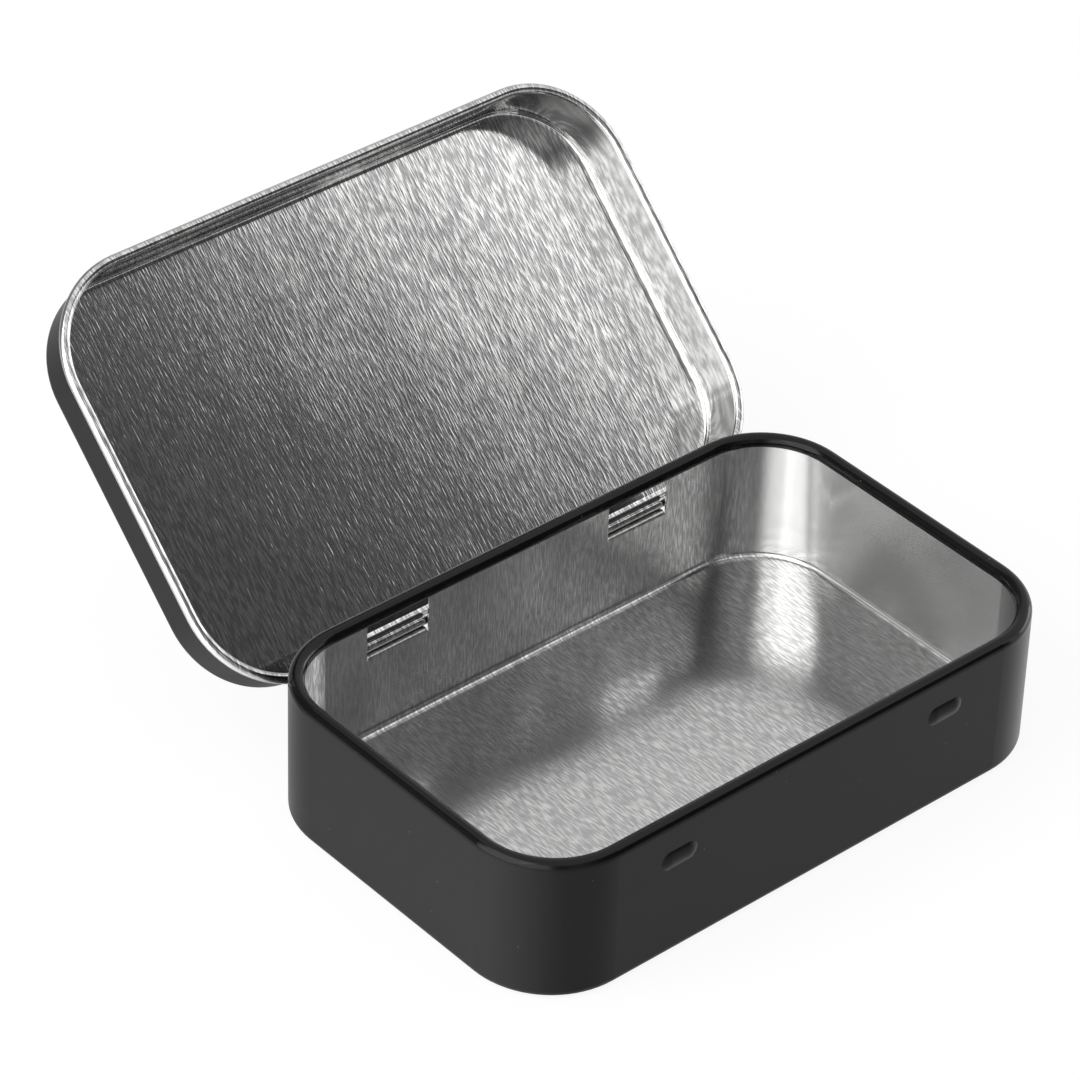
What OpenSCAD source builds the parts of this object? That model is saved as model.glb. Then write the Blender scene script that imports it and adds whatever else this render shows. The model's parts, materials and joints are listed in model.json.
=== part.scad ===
// Card tin with a hinged lid: two drawn tinplate pressings.
// The tray's rim curls inward and the lid's edge curls outward. Two tongues, lanced from the tray's
// back wall, wrap the lid's rear bead, which is the hinge pin. The lid is drawn open, on its stop.
// Origin: centre of the tray's underside. +X right, +Y back, +Z up. Millimetres.

/* [Tray] */
// Length of the rim outline, left to right
tray_length = 95; // [80:1:120]
// Depth of the rim outline, front to back
tray_depth = 60; // [50:1:80]
// Height from the table to the top of the rim
tray_height = 22.5; // [20:0.5:30]
// Radius of the rim outline at the four corners
corner_radius = 13; // [8:0.5:18]
// Outside radius between the floor and the wall
floor_radius = 1.15; // [0.8:0.05:2]
// Outside width of the rim's inward curl
rim_dia = 2.3; // [2:0.05:2.6]
// Where the rim's curl ends, in degrees from the outside over the top
rim_end = 200; // [185:5:230]

/* [Sheet] */
// Thickness of the tinplate
sheet = 0.24; // [0.2:0.01:0.28]
// Outside diameter of the lid's curled edge, the bead
bead_dia = 1.5; // [1.3:0.05:1.8]
// Where the bead's curl ends, in degrees from the skirt under the bead
bead_end = 310; // [270:5:315]

/* [Lid] */
// Height of the lid from the underside of its bead to its top face
lid_height = 9.2; // [8:0.1:12]
// Outside radius between the top and the skirt
lid_radius = 1.25; // [0.8:0.05:2]
// Gap between the rim and the skirt at each end
side_gap = 0.2; // [0.15:0.05:0.5]
// Gap between the rim and the skirt at the hinge
rear_gap = 0.2; // [0.15:0.05:0.4]
// Gap left at the front as the skirt swings past the rim and the bumps
swing_gap = 0.06; // [0.04:0.01:0.2]
// Gap between the rim and the underside of the top
top_gap = 0.15; // [0.1:0.05:0.5]
// How far the lid opens, in degrees
open_angle = 136; // [120:1:145]

/* [Hinge] */
// Distance between the centres of the two tongues
hinge_spacing = 43.6; // [36:0.2:48]
// Width of each window in the back wall
window_width = 10.9; // [8:0.1:14]
// Metal left between the top of a window and the rim's curl
window_bridge = 0.6; // [0.4:0.1:1.5]
// Gap between a tongue and the sides of its window
tongue_gap = 0.15; // [0.1:0.05:0.3]
// Gap between a tongue and the bead that turns in it
hinge_clearance = 0.1; // [0.06:0.01:0.1]
// Radius of the bends in a tongue, at the middle of the sheet
bend_radius = 0.42; // [0.3:0.02:0.5]
// Where a tongue ends, in degrees from the outside over the bead
tongue_end = 100; // [95:5:130]
// Gap between a tongue and the ends of its slot in the lid
slot_gap = 0.4; // [0.3:0.05:0.8]
// Gap left at the open stop, between the slot's edge and the tongue
stop_gap = 0.03; // [0.02:0.01:0.06]

/* [Bumps] */
// Distance between the centres of the two bumps that hold the lid shut
bump_spacing = 47.8; // [36:0.2:56]
// Height of the bumps above the hinge line
bump_lift = 1.7; // [1.4:0.1:2.5]
// Length of a bump, along the wall
bump_length = 6.2; // [4:0.1:8]
// Width of a bump, up the wall
bump_width = 3; // [2.4:0.1:3.2]
// How far a bump stands out from the wall
bump_height = 0.45; // [0.3:0.01:0.5]

/* [Hidden] */
$fn = 96;

far = 200;                       // reach of a cutting shape
rim_r = rim_dia / 2;
bead_r = bead_dia / 2;
bead_in = bead_r - sheet;        // inside radius of the bead

// Hinge line: the centre of the lid's rear bead
top_face = tray_height + top_gap + sheet;
hinge_y = tray_depth / 2 + rear_gap + bead_r;
hinge_z = top_face - lid_height + bead_r;

// How far the front of the rim and the bumps reach from the hinge line, and the gap that the skirt
// needs to pass them
bump_z = hinge_z + bump_lift;
rim_reach = norm([hinge_y + tray_depth / 2 - rim_r, tray_height - rim_r - hinge_z]) + rim_r;
bump_reach = norm([hinge_y + tray_depth / 2 + bump_height, bump_lift]);
front_gap = max(rim_reach, bump_reach) - hinge_y - tray_depth / 2 + swing_gap;

// Lid, as it lies when shut
lid_length = tray_length + 2 * side_gap;   // inside the skirt
lid_depth = tray_depth + rear_gap + front_gap;
lid_corner = corner_radius + side_gap;
lid_middle = (rear_gap - front_gap) / 2;

// Tongue: a flat-sided hook round the bead, which runs at radius loop_r at the middle of the sheet
loop_in = bead_r + hinge_clearance;
loop_r = loop_in + sheet / 2;
loop_out = loop_in + sheet;
tongue_width = window_width - 2 * tongue_gap;
wall_middle = tray_depth / 2 - sheet / 2;        // middle of the back wall's sheet
tongue_root = hinge_y - wall_middle;             // how far that lies in front of the hinge line
window_foot = hinge_z - loop_r - bend_radius;
window_head = tray_height - rim_r - window_bridge;

// Slot in the rear skirt, from the hinge line up: its top edge meets the tongue's flat side when
// the lid is fully open
slot_foot = bead_r / 3;
slot_head = (loop_out + stop_gap + bead_in * cos(open_angle)) / sin(open_angle);
slot_width = tongue_width + 2 * slot_gap;

// ---- Flat sections ----

// A wedge with its point at the origin, from one angle to another less than 180 degrees on
module wedge(from, to) {
    middle = (from + to) / 2;
    polygon([
        [0, 0],
        [far * cos(from), far * sin(from)],
        [far * cos(middle), far * sin(middle)],
        [far * cos(to), far * sin(to)]
    ]);
}

// A quarter bend of the sheet in one quadrant; radius is that of its outer face
module quarter_bend(radius, quadrant) {
    intersection() {
        difference() {
            circle(radius);
            circle(radius - sheet);
        }
        rotate(90 * quadrant) square(far);
    }
}

// The tray's wall in section: floor bend, wall and the rim's inward curl
module tray_section() {
    translate([corner_radius - floor_radius, floor_radius]) quarter_bend(floor_radius, 3);
    translate([corner_radius - sheet, floor_radius]) square([sheet, tray_height - rim_r - floor_radius]);
    translate([corner_radius - rim_r, tray_height - rim_r]) difference() {
        circle(rim_r);
        circle(rim_r - sheet);
        wedge(rim_end, 360);
    }
}

// The lid's skirt in section: top bend, skirt and outward bead, standing on the hinge line
module lid_section() {
    skirt_top = lid_height - bead_r;
    translate([lid_corner + sheet - lid_radius, skirt_top - lid_radius]) quarter_bend(lid_radius, 0);
    translate([lid_corner, 0]) square([sheet, skirt_top - lid_radius]);
    translate([lid_corner + bead_r, 0]) difference() {
        circle(bead_r);
        circle(bead_in);
        wedge(bead_end - 180, 180);
    }
}

// A tongue in section, with the hinge line at the origin: out from the wall, under the bead, up and over
module tongue_section() {
    flat_start = -tongue_root + bend_radius;
    flat_end = loop_r - bend_radius;
    translate([flat_start, -loop_r - bend_radius]) quarter_bend(bend_radius + sheet / 2, 1);
    translate([flat_start, -loop_out]) square([flat_end - flat_start, sheet]);
    translate([flat_end, -loop_r + bend_radius]) quarter_bend(bend_radius + sheet / 2, 3);
    translate([loop_in, -loop_r + bend_radius]) square([sheet, loop_r - bend_radius]);
    intersection() {
        difference() {
            circle(loop_out);
            circle(loop_in);
        }
        wedge(0, tongue_end);
    }
}

// ---- Solid forms ----

module rounded_plate(length, depth, radius, thick) {
    linear_extrude(thick) union() {
        square([length - 2 * radius, depth], center = true);
        square([length, depth - 2 * radius], center = true);
        for (x = [-1, 1], y = [-1, 1])
            translate([x * (length / 2 - radius), y * (depth / 2 - radius)]) circle(radius);
    }
}

// One straight side of a pan, facing +X; its section is measured from the corners' centre line
module straight_side(run, reach) {
    translate([reach, run / 2, 0]) rotate([90, 0, 0]) linear_extrude(run) children();
}

// Sweeps a section round a rounded rectangle: four straight sides and four corners
module sweep_round(length, depth, radius) {
    run_x = length - 2 * radius;
    run_y = depth - 2 * radius;
    for (turn = [0, 180]) {
        rotate(turn) straight_side(run_y, run_x / 2) children();
        rotate(turn + 90) straight_side(run_x, run_y / 2) children();
        rotate(turn) translate([run_x / 2, run_y / 2, 0]) rotate_extrude(angle = 90) children();
        rotate(turn) translate([-run_x / 2, run_y / 2, 0]) rotate(90) rotate_extrude(angle = 90) children();
    }
}

// A round-ended pillow along X, rising to its height from the plane y = 0; shrink makes it that much
// smaller all round
module pillow(shrink) {
    radius = (bump_width * bump_width / 4 + bump_height * bump_height) / (2 * bump_height);
    run = bump_length - bump_width;
    intersection() {
        translate([0, bump_height - radius, 0]) union() {
            rotate([0, 90, 0]) cylinder(r = radius - shrink, h = run, center = true);
            for (end = [-1, 1]) translate([end * run / 2, 0, 0]) sphere(radius - shrink);
        }
        translate([0, bump_width - shrink - sheet / 2, 0])
            cube(2 * [bump_length, bump_width, bump_width], center = true);
    }
}

// Presses the two bumps outwards from the front wall
module press_bumps() {
    difference() {
        union() {
            children();
            at_bumps() pillow(0);
        }
        at_bumps() pillow(sheet);
    }
}

module at_hinges() {
    for (side = [-1, 1]) translate([side * hinge_spacing / 2, 0, 0]) children();
}

module at_bumps() {
    for (side = [-1, 1]) translate([side * bump_spacing / 2, -tray_depth / 2, bump_z]) rotate(180) children();
}

// ---- Pieces ----

module base_tray() {
    color("#3a3b3d") union() {
        difference() {
            press_bumps() union() {
                sweep_round(tray_length, tray_depth, corner_radius) tray_section();
                rounded_plate(
                    tray_length - 2 * floor_radius,
                    tray_depth - 2 * floor_radius,
                    corner_radius - floor_radius,
                    sheet
                );
            }
            at_hinges() translate([0, wall_middle, (window_foot + window_head) / 2])
                cube([window_width, 2 * sheet, window_head - window_foot], center = true);
        }
        at_hinges() translate([-tongue_width / 2, hinge_y, hinge_z])
            rotate([90, 0, 90]) linear_extrude(tongue_width) tongue_section();
    }
}

module shut_lid() {
    difference() {
        translate([0, lid_middle, 0]) union() {
            translate([0, 0, hinge_z]) sweep_round(lid_length, lid_depth, lid_corner) lid_section();
            translate([0, 0, top_face - sheet]) rounded_plate(
                lid_length + 2 * (sheet - lid_radius),
                lid_depth + 2 * (sheet - lid_radius),
                lid_corner + sheet - lid_radius,
                sheet
            );
        }
        at_hinges() translate([0, hinge_y - bead_r + sheet / 2, hinge_z + (slot_foot + slot_head) / 2])
            cube([slot_width, 2 * sheet, slot_head - slot_foot], center = true);
    }
}

module lid() {
    color("#b9bbbc") translate([0, hinge_y, hinge_z]) rotate([-open_angle, 0, 0])
        translate([0, -hinge_y, -hinge_z]) shut_lid();
}

base_tray();
lid();
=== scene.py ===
"""Looks of an open hinged card tin: black-coated tinplate outside, bare brushed tinplate inside.

Lengths are in metres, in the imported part's frame: origin under the middle of the tray, +X right, +Y back,
+Z up. Heights of bumps are in millimetres, and angles in degrees.
"""

import json
import math

import bpy
from mathutils import Matrix, Vector


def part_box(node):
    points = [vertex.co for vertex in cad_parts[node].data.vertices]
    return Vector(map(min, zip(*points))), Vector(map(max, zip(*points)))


MM = 0.001
WHITE = (1, 1, 1, 1)

# Sizes of the pressings that the finishes follow
TRAY_DEPTH = 60 * MM
CORNER = 13 * MM          # radius of the tray's outline at its corners
SHEET = 0.24 * MM
RIM = 2.3 * MM            # outside width of the tray's inward curl
RIM_DROP = 0.42 * MM      # how far that curl comes down again on its inner side, from its middle
BEAD = 1.5 * MM           # outside diameter of the lid's curled edge
TRAY_BEND = 1.15 * MM     # outside radius between the tray's floor and wall
LID_BEND = 1.25 * MM      # outside radius between the lid's top and skirt
LID_HEIGHT = 9.2 * MM     # from the underside of the bead to the top face
LID_GAP = 0.2 * MM        # between the rim and the lid's skirt, at the ends and at the hinge
FRONT_GAP = 0.534 * MM    # the same at the front, where the skirt swings past the bumps

# Where the coating ends
FACES_OUT = 0.2           # how squarely a coated face looks outwards, at least, as a cosine
CURL_SKIN = 0.3 * SHEET   # how deep under the curl's outer face a point still lies on that face
LID_SKIN = 0.1 * SHEET    # how far out from the lid's outer face its coating still goes
COAT_STOP = 0.3 * BEAD    # how far above the middle of the bead the lid's coating stops
TONGUE_OUT = 0.3 * MM     # how far a tongue's coated face lies from the hinge line and looks away from it

# Bare tinplate
TIN_LEVEL = 0.60                              # its mean reflectance
TIN_BLUE = 0.99                               # blue of the bright streaks, against red and green
STREAK_CELL = (0.26 * MM, 2.0 * MM, 2.0 * MM)
STREAK_EDGES = (0.38, 0.68)                   # the noise at which a streak is all dull and all bright
STREAK_ROUGHER = 0.05                         # how much rougher the dull streaks are
WAVE_CELL = (14 * MM, 18 * MM, 18 * MM)

# Black coating
COAT_SHADES = ((0.0030, 0.0033, 0.0040, 1), (0.0045, 0.0048, 0.0055, 1))
COAT_GLOSS = 0.25                             # Specular IOR Level
COAT_ROUGHNESS = 0.26
COAT_GRAIN = 0.0022                           # height of the grain
RIM_ROUGHNESS = 0.13                          # the same two on the rim's curl, which is glossier
RIM_GRAIN = 0.0007
GRAIN_CELL = (0.12 * MM, 0.12 * MM, 0.12 * MM)
DRAWN_CELL = (0.5 * MM, 0.5 * MM, 14 * MM)    # marks drawn up the walls
DRAWN_EDGES = (0.3, 0.7)
SPECK_CELL = (3.2 * MM, 3.2 * MM, 3.2 * MM)
SPECK_SIZE = 0.035                            # radius of a speck, in cells
SPECK_COLOUR = (0.10, 0.10, 0.10, 1)

# The photograph's camera, found by fitting the tin's edges
CAMERA_AZIMUTH = -41.828       # 0 looks along +Y
CAMERA_ELEVATION = 36.571
CAMERA_ROLL = 1.913
CAMERA_DISTANCE = 702.27 * MM
CAMERA_SIDE = -16.168 * MM     # how far the camera is moved along its own right and up
CAMERA_RISE = 30.818 * MM
CAMERA_CLIP = (0.05, 20)
FOCAL_PIXELS = 5129.9
IMAGE_PIXELS = 1080
SENSOR = 36.0                  # in millimetres

# The floor, and how bright the world is as light
FLOOR_SIZE = 3.0
FLOOR_DROP = 0.2 * MM          # how far it lies under the tray
WORLD_LEVEL = 0.45

# The studio as the bare metal mirrors it: how bright it is at each azimuth (0 is in front, the left is
# negative), up to the height where it turns white
SCREEN_RADIUS = 2.5
SCREEN_FOOT = -2
SCREEN_TOP = (49, 53)
SCREEN_COLUMNS = 24
SCREEN_ROWS = 12
SCREEN_RIGHT = ((110, 0.8), (140, 0.8), (165, 0.3), (180, 0.3))
SCREEN_BEHIND = ((-180, 0.3), (-150, 0.22), (-121, 0.35))
SCREEN_FRONT = (
    (-76, 2.3), (-60, 2.3), (-47, 2.0), (-43, 1.3), (-40, 0.7), (-32, 0.25), (-20, 0.50), (0, 0.34),
    (15, 0.13), (39, 0.07), (42.3, 0.09), (43.7, 0.10), (45, 0.12), (46, 0.20), (47, 0.8), (48, 1.4),
    (58, 1.4))


# ---- Shader graph ----

class Graph:
    """The node tree of a material or world, with short calls for the nodes used here."""

    def __init__(self, owner):
        owner.use_nodes = True
        self.owner = owner
        self.tree = owner.node_tree
        self.tree.nodes.clear()
        coordinates = self.add("ShaderNodeTexCoord").outputs
        self.place = coordinates["Object"]
        self.normal = coordinates["Normal"]

    def add(self, kind, *inputs, **settings):
        """Adds a node with these settings; each input is a socket to link, or a value."""
        node = self.tree.nodes.new(kind)
        for key, value in settings.items():
            setattr(node, key, value)
        for socket, value in zip(node.inputs, inputs):
            self.feed(socket, value)
        return node

    def feed(self, socket, value):
        if isinstance(value, bpy.types.NodeSocket):
            self.tree.links.new(value, socket)
        else:
            socket.default_value = value

    def math(self, operation, *inputs):
        return self.add("ShaderNodeMath", *inputs, operation=operation).outputs[0]

    def vector(self, operation, *inputs):
        node = self.add("ShaderNodeVectorMath", *inputs, operation=operation)
        return node.outputs["Value" if operation in ("LENGTH", "DOT_PRODUCT") else "Vector"]

    def turn_about_x(self, vector, centre, angle):
        node = self.add("ShaderNodeVectorRotate", vector, rotation_type="X_AXIS")
        node.inputs["Center"].default_value = centre
        node.inputs["Angle"].default_value = angle
        return node.outputs[0]

    def split(self, vector):
        return self.add("ShaderNodeSeparateXYZ", vector).outputs

    def join(self, x, y, z):
        return self.add("ShaderNodeCombineXYZ", x, y, z).outputs[0]

    def both(self, *masks):
        result = masks[0]
        for mask in masks[1:]:
            result = self.math("MULTIPLY", result, mask)
        return result

    def either(self, first, second):
        return self.math("MAXIMUM", first, second)

    def over(self, value, limit):
        return self.math("GREATER_THAN", value, limit)

    def under(self, value, limit):
        return self.math("LESS_THAN", value, limit)

    def ramp(self, value, low, high, to_low=0.0, to_high=1.0):
        """Maps low to to_low and high to to_high, smoothly and without going past either."""
        node = self.add("ShaderNodeMapRange", interpolation_type="SMOOTHSTEP")
        for key, number in (("Value", value), ("From Min", low), ("From Max", high),
                            ("To Min", to_low), ("To Max", to_high)):
            self.feed(node.inputs[key], number)
        return node.outputs["Result"]

    def mix(self, amount, first, second):
        node = self.add("ShaderNodeMix", data_type="FLOAT")
        for key, value in (("Factor", amount), ("A", first), ("B", second)):
            self.feed(node.inputs[key], value)
        return node.outputs["Result"]

    def mix_colour(self, amount, first, second):
        node = self.add("ShaderNodeMix", data_type="RGBA")
        sockets = {(s.name, s.type): s for s in node.inputs}
        self.feed(sockets["Factor", "VALUE"], amount)
        self.feed(sockets["A", "RGBA"], first)
        self.feed(sockets["B", "RGBA"], second)
        return next(s for s in node.outputs if s.type == "RGBA")

    def noise(self, point, cell, detail):
        """Noise from 0 to 1 whose cells have the given size along X, Y and Z."""
        node = self.add("ShaderNodeTexNoise", self.vector("DIVIDE", point, cell))
        node.inputs["Scale"].default_value = 1.0
        node.inputs["Detail"].default_value = detail
        return node.outputs["Fac"]

    def finish(self, colour, metallic, roughness, height):
        """The surface: one Principled shader, with the height field as a bump."""
        bump = self.add("ShaderNodeBump")
        bump.inputs["Distance"].default_value = MM
        self.feed(bump.inputs["Height"], height)
        shader = self.add("ShaderNodeBsdfPrincipled")
        self.feed(shader.inputs["Base Color"], colour)
        self.feed(shader.inputs["Metallic"], metallic)
        self.feed(shader.inputs["Roughness"], roughness)
        self.feed(shader.inputs["Normal"], bump.outputs["Normal"])
        shader.inputs["Specular IOR Level"].default_value = COAT_GLOSS
        self.add("ShaderNodeOutputMaterial", shader.outputs[0])
        return self.owner


# ---- Where the coating lies ----

def pan_skin(g, point, half_x, half_y, corner, bend, base, facing):
    """For a shallow round-cornered pan, whose flat outer face lies at height base and faces up (1) or
    down (-1): how far a point lies out from its outer face, how squarely the surface faces outwards, and
    how far the point lies out from the pan's outline."""
    x, y, z = g.split(point)
    side_x = g.math("MAXIMUM", g.math("SUBTRACT", g.math("ABSOLUTE", x), half_x - corner), 0.0)
    side_y = g.math("MAXIMUM", g.math("SUBTRACT", g.math("ABSOLUTE", y), half_y - corner), 0.0)
    reach = g.vector("LENGTH", g.join(side_x, side_y, 0.0))
    wall = g.math("MAXIMUM", g.math("SUBTRACT", reach, corner - bend), 0.0)
    face = g.math("MAXIMUM", g.math("MULTIPLY_ADD", g.math("SUBTRACT", z, base), facing, bend), 0.0)
    depth = g.math("SUBTRACT", g.vector("LENGTH", g.join(wall, face, 0.0)), bend)
    along = g.join(
        g.math("MULTIPLY", side_x, g.math("SIGN", x)), g.math("MULTIPLY", side_y, g.math("SIGN", y)), 0.0)
    sideways = g.vector("MULTIPLY", g.vector("NORMALIZE", along), g.join(wall, wall, 0.0))
    outwards = g.vector("NORMALIZE", g.vector(
        "ADD", sideways, g.join(0.0, 0.0, g.math("MULTIPLY", face, facing))))
    return depth, g.vector("DOT_PRODUCT", g.normal, outwards), g.math("SUBTRACT", reach, corner)


def tray_coating(g, point, size, hinge):
    """1 where the tray is coated: its outer face, all of its rim curl and the outer face of its tongues.
    Also gives the curl alone."""
    depth, facing_out, outside = pan_skin(g, point, size.x / 2, size.y / 2, CORNER, TRAY_BEND, 0.0, -1.0)
    height = g.split(point)[2]
    middle = size.z - RIM / 2
    from_middle = g.join(g.math("ADD", outside, RIM / 2), g.math("SUBTRACT", height, middle), 0.0)
    on_curl = g.over(g.vector("LENGTH", from_middle), RIM / 2 - CURL_SKIN)
    curl = g.both(on_curl, g.over(height, middle - RIM_DROP))
    from_hinge = g.vector("MULTIPLY", g.vector("SUBTRACT", point, hinge), (0.0, 1.0, 1.0))
    turned_out = g.over(g.vector("DOT_PRODUCT", g.normal, from_hinge), TONGUE_OUT)
    tongue = g.over(depth, SHEET / 2)
    return g.either(curl, g.mix(tongue, g.over(facing_out, FACES_OUT), turned_out)), curl


def lid_coating(g, point, size, top, bead):
    """1 where the lid is coated: its outer face down to the bead, which the bare inside rolls over."""
    depth, facing_out, _ = pan_skin(
        g, point, size.x / 2, size.y / 2, CORNER + LID_GAP + SHEET, LID_BEND, top, 1.0)
    above_bead = g.over(g.split(point)[2], bead + COAT_STOP)
    return g.both(g.over(facing_out, FACES_OUT), g.under(depth, LID_SKIN), above_bead)


# ---- Finishes ----

def brushed(g, point, plain, roughness, contrast, relief, wave):
    """Bare tinplate: short rolled streaks along the tray's depth that carry on up the front and back walls,
    over slow waves. Plain is 1 where the metal is satin without streaks. Contrast is how far the streaks'
    colour swings, and relief and wave are the heights of the streaks and waves."""
    streaks = g.noise(point, STREAK_CELL, detail=1.5)
    waves = g.noise(point, WAVE_CELL, detail=1.0)
    strength = g.mix(plain, g.ramp(streaks, *STREAK_EDGES), 0.5)
    dull, bright = TIN_LEVEL - contrast, TIN_LEVEL + contrast
    colour = g.mix_colour(strength, (dull, dull, dull, 1), (bright, bright, TIN_BLUE * bright, 1))
    height = g.math("MULTIPLY", streaks, g.mix(plain, relief, 0.0))
    return (colour, g.mix(strength, roughness + STREAK_ROUGHER, roughness),
            g.math("MULTIPLY_ADD", waves, wave, height))


def coated(g, point):
    """Black coating: satin, with faint drawn marks up the walls and a few pale specks, and its grain."""
    drawn = g.noise(point, DRAWN_CELL, detail=3.0)
    grain = g.noise(point, GRAIN_CELL, detail=1.0)
    cells = g.add("ShaderNodeTexVoronoi", g.vector("DIVIDE", point, SPECK_CELL))
    cells.inputs["Scale"].default_value = 1.0
    speck = g.under(cells.outputs["Distance"], SPECK_SIZE)
    black = g.mix_colour(g.ramp(drawn, *DRAWN_EDGES), *COAT_SHADES)
    return g.mix_colour(speck, black, SPECK_COLOUR), grain


def tinplate(g, mask, bare, black, coat_roughness, coat_height):
    """Coating where the mask is 1, and bare metal, given as its colour, roughness and height, elsewhere."""
    bare_colour, bare_roughness, bare_height = bare
    return g.finish(
        colour=g.mix_colour(mask, bare_colour, black),
        metallic=g.math("SUBTRACT", 1.0, mask),
        roughness=g.mix(mask, bare_roughness, coat_roughness),
        height=g.mix(mask, bare_height, coat_height),
    )


def tray_finish(size, hinge):
    """The end walls, where the streaks would lie edge on, are plain."""
    g = Graph(bpy.data.materials.new("tray_tinplate"))
    mask, curl = tray_coating(g, g.place, size, hinge)
    on_end = g.ramp(g.math("ABSOLUTE", g.split(g.normal)[0]), 0.3, 0.8)
    bare = brushed(g, g.place, on_end, roughness=0.17, contrast=0.14, relief=0.008, wave=0.18)
    black, grain = coated(g, g.place)
    coat_height = g.math("MULTIPLY", grain, g.mix(curl, COAT_GRAIN, RIM_GRAIN))
    return tinplate(g, mask, bare, black, g.mix(curl, COAT_ROUGHNESS, RIM_ROUGHNESS), coat_height)


def lid_finish(size, middle_y, top, bead, hinge, open_angle):
    """The lid's coordinates are turned back to how it lies when shut, where its pressing is square. Only
    its flat top has streaks."""
    g = Graph(bpy.data.materials.new("lid_tinplate"))
    turned = g.turn_about_x(g.place, hinge, open_angle)
    shut = g.vector("SUBTRACT", turned, (0.0, middle_y, 0.0))
    g.normal = g.turn_about_x(g.normal, (0, 0, 0), open_angle)
    mask = lid_coating(g, shut, size, top, bead)
    off_top = g.ramp(g.math("ABSOLUTE", g.split(g.normal)[2]), 0.5, 0.9, 1.0, 0.0)
    bare = brushed(g, shut, off_top, roughness=0.07, contrast=0.22, relief=0.012, wave=0.05)
    black, grain = coated(g, shut)
    return tinplate(g, mask, bare, black, COAT_ROUGHNESS, g.math("MULTIPLY", grain, COAT_GRAIN))


def dress(node, material):
    for slot in node.material_slots:
        slot.material = material


# ---- Studio ----

def shows_backdrop(g):
    """1 for the rays that should see the plain backdrop: straight, in a reflection or through glass."""
    ray = g.add("ShaderNodeLightPath").outputs
    return g.either(ray["Is Camera Ray"], g.either(ray["Is Glossy Ray"], ray["Is Transmission Ray"]))


def make_world():
    world = bpy.data.worlds.new("studio")
    bpy.context.scene.world = world
    g = Graph(world)
    strength = g.mix(shows_backdrop(g), WORLD_LEVEL, 1.0)
    light = g.add("ShaderNodeBackground", WHITE, strength)
    g.add("ShaderNodeOutputWorld", light.outputs[0])


def floor_finish():
    """A white satin sweep: plain white to the eye, a little darker in the tin's shadow, and with a
    blurred mirror image of the studio for what the tin reflects."""
    g = Graph(bpy.data.materials.new("white_sweep"))
    ray = g.add("ShaderNodeLightPath").outputs
    paper = g.add("ShaderNodeBsdfDiffuse", (0.8, 0.8, 0.8, 1)).outputs[0]
    shade = g.add("ShaderNodeBsdfDiffuse", (0.16, 0.16, 0.16, 1)).outputs[0]
    glow = g.add("ShaderNodeEmission", WHITE, 0.90).outputs[0]
    white = g.add("ShaderNodeAddShader", shade, glow).outputs[0]
    satin = g.add("ShaderNodeBsdfAnisotropic", (0.85, 0.85, 0.85, 1)).outputs[0]
    soft_white = g.add("ShaderNodeMixShader", 0.7, white, satin).outputs[0]
    seen = g.add("ShaderNodeMixShader", ray["Is Glossy Ray"], white, soft_white).outputs[0]
    shader = g.add("ShaderNodeMixShader", shows_backdrop(g), paper, seen).outputs[0]
    g.add("ShaderNodeOutputMaterial", shader)
    return g.owner


def make_floor():
    half = FLOOR_SIZE / 2
    mesh = bpy.data.meshes.new("floor")
    outline = [(-half, -half, 0), (half, -half, 0), (half, half, 0), (-half, half, 0)]
    mesh.from_pydata(outline, [], [(0, 1, 2, 3)])
    mesh.materials.append(floor_finish())
    floor = bpy.data.objects.new("floor", mesh)
    bpy.context.scene.collection.objects.link(floor)
    floor.location.z = -FLOOR_DROP


def direction(azimuth, elevation):
    a, e = math.radians(azimuth), math.radians(elevation)
    return Vector((math.sin(a) * math.cos(e), -math.cos(a) * math.cos(e), math.sin(e)))


def screen_finish(stops):
    """Glows with the given (azimuth, level) stops, and fades to the studio's white at its top."""
    g = Graph(bpy.data.materials.new("screen"))
    x, y, z = g.split(g.place)
    azimuth = g.math("ARCTAN2", x, g.math("MULTIPLY", y, -1.0))
    elevation = g.math("ARCSINE", g.math("DIVIDE", z, SCREEN_RADIUS))
    start, end = stops[0][0], stops[-1][0]
    along = g.add("ShaderNodeValToRGB", g.math("DIVIDE", g.math(
        "SUBTRACT", azimuth, math.radians(start)), math.radians(end - start)))
    elements = along.color_ramp.elements
    for place, level in stops[1:-1]:
        elements.new((place - start) / (end - start))
    for element, (place, level) in zip(elements, stops):
        element.color = (level, level, level, 1)
    rise = g.ramp(elevation, *(math.radians(v) for v in SCREEN_TOP))
    light = g.mix_colour(rise, along.outputs[0], WHITE)
    g.add("ShaderNodeOutputMaterial", g.add("ShaderNodeEmission", light, 1.0).outputs[0])
    return g.owner


def make_screen(name, stops):
    """A curved screen round the tin that only its reflections see."""
    start, end = stops[0][0], stops[-1][0]
    across = SCREEN_COLUMNS + 1
    columns = [start + k * (end - start) / SCREEN_COLUMNS for k in range(across)]
    rows = [SCREEN_FOOT + k * (SCREEN_TOP[1] - SCREEN_FOOT) / SCREEN_ROWS for k in range(SCREEN_ROWS + 1)]
    points = [direction(a, e) * SCREEN_RADIUS for e in rows for a in columns]
    corners = [row * across + k for row in range(SCREEN_ROWS) for k in range(SCREEN_COLUMNS)]
    mesh = bpy.data.meshes.new(name)
    mesh.from_pydata(points, [], [(c, c + 1, c + across + 1, c + across) for c in corners])
    mesh.materials.append(screen_finish(stops))
    screen = bpy.data.objects.new(name, mesh)
    bpy.context.scene.collection.objects.link(screen)
    screen.visible_camera = False
    screen.visible_diffuse = False
    screen.visible_shadow = False


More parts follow.
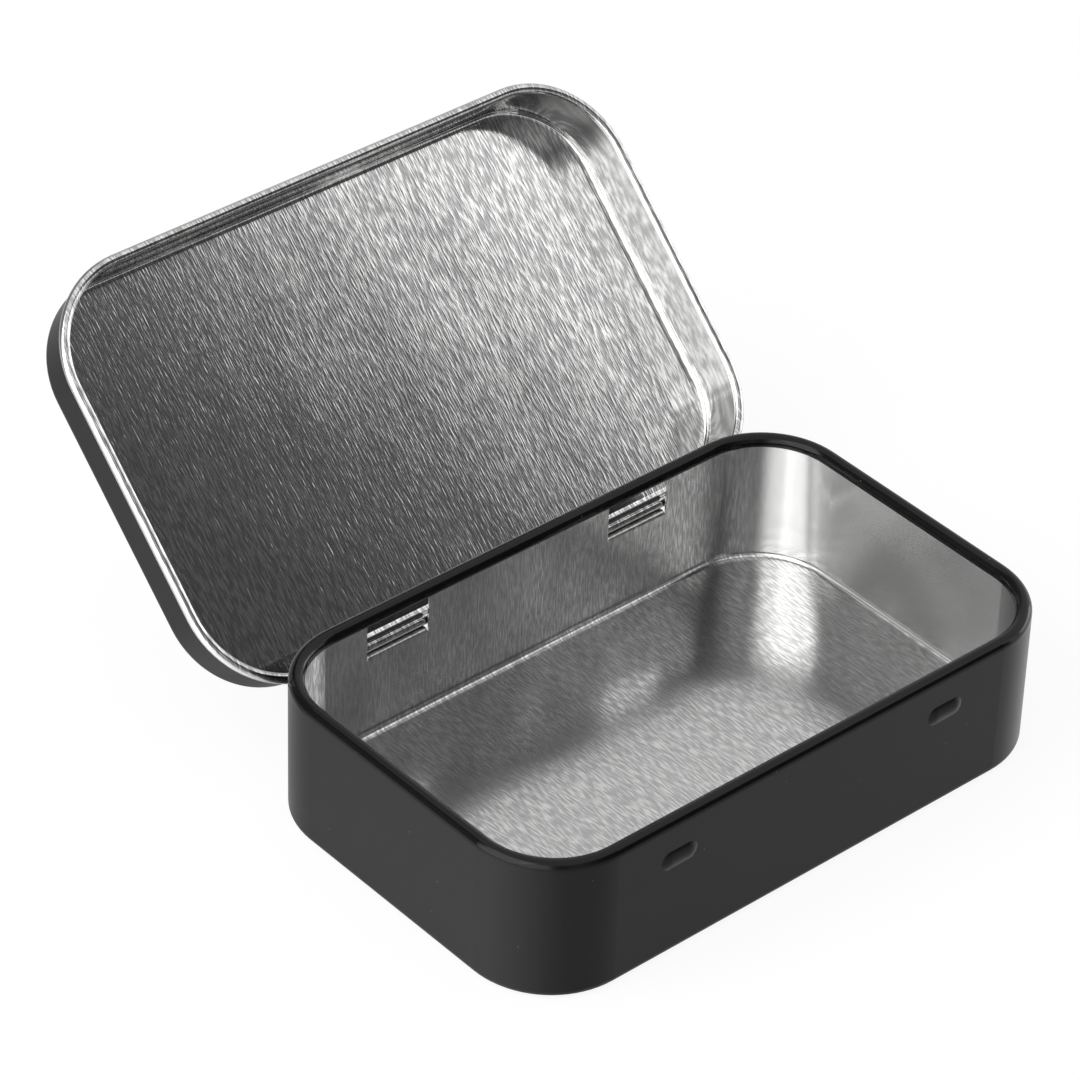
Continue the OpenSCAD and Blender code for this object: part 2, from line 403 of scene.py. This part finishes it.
def softbox(name, width, height, distance, azimuth, elevation, radiance):
    """A rectangular lamp that faces the tin from the given direction."""
    out = direction(azimuth, elevation)
    lamp = bpy.data.lights.new(name, "AREA")
    lamp.shape = "RECTANGLE"
    lamp.size, lamp.size_y = width, height
    lamp.energy = radiance * math.pi * width * height
    holder = bpy.data.objects.new(name, lamp)
    bpy.context.scene.collection.objects.link(holder)
    holder.location = out * distance
    holder.rotation_euler = (-out).to_track_quat("-Z", "Y").to_euler()
    holder.visible_camera = False


def make_camera():
    back = direction(CAMERA_AZIMUTH, CAMERA_ELEVATION)
    azimuth, roll = math.radians(CAMERA_AZIMUTH), math.radians(CAMERA_ROLL)
    level = Vector((math.cos(azimuth), math.sin(azimuth), 0))
    upright = back.cross(level)
    right = level * math.cos(roll) + upright * math.sin(roll)
    up = upright * math.cos(roll) - level * math.sin(roll)
    data = bpy.data.cameras.new("camera")
    data.sensor_width = SENSOR
    data.lens = FOCAL_PIXELS / IMAGE_PIXELS * SENSOR
    data.clip_start, data.clip_end = CAMERA_CLIP
    camera = bpy.data.objects.new("camera", data)
    bpy.context.scene.collection.objects.link(camera)
    place = Matrix((right, up, back)).transposed().to_4x4()
    place.translation = back * CAMERA_DISTANCE + right * CAMERA_SIDE + up * CAMERA_RISE
    camera.matrix_world = place
    bpy.context.scene.camera = camera


# ---- The scene ----

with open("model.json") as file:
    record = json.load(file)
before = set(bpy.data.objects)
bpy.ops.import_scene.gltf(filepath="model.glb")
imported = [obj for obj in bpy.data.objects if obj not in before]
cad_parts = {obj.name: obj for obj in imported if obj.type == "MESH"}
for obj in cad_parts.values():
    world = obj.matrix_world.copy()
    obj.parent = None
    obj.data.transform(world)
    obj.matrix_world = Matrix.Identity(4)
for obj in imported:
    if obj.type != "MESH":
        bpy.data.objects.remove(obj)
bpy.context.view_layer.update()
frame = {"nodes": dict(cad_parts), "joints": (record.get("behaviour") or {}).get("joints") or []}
make_camera()

joint = frame["joints"][0]
hinge_line = Vector(joint["pos_m"])
opening = math.radians(joint["range_deg"][1])
tray_low, tray_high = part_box("base_tray")
lid_low, lid_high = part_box("lid")

# The tray's box takes in its bumps, so its depth comes from the rim's outline
tray_size = Vector((tray_high.x - tray_low.x, TRAY_DEPTH, tray_high.z))
lid_size = Vector((
    lid_high.x - lid_low.x - 2 * (BEAD - SHEET), TRAY_DEPTH + LID_GAP + FRONT_GAP + 2 * SHEET, LID_HEIGHT))
lid_middle = (LID_GAP - FRONT_GAP) / 2
lid_top = hinge_line.z - BEAD / 2 + LID_HEIGHT

dress(frame["nodes"]["base_tray"], tray_finish(tray_size, hinge_line))
dress(frame["nodes"]["lid"], lid_finish(lid_size, lid_middle, lid_top, hinge_line.z, hinge_line, opening))

make_world()
make_floor()
softbox("light_left", width=0.75, height=1.1, distance=0.9, azimuth=-98, elevation=34, radiance=1.9)
softbox("light_right", width=0.5, height=0.35, distance=0.9, azimuth=80, elevation=8, radiance=2.3)
make_screen("screen_right", SCREEN_RIGHT)
make_screen("screen_behind", SCREEN_BEHIND)
make_screen("screen_front", SCREEN_FRONT)

bpy.context.scene.view_settings.view_transform = "Standard"
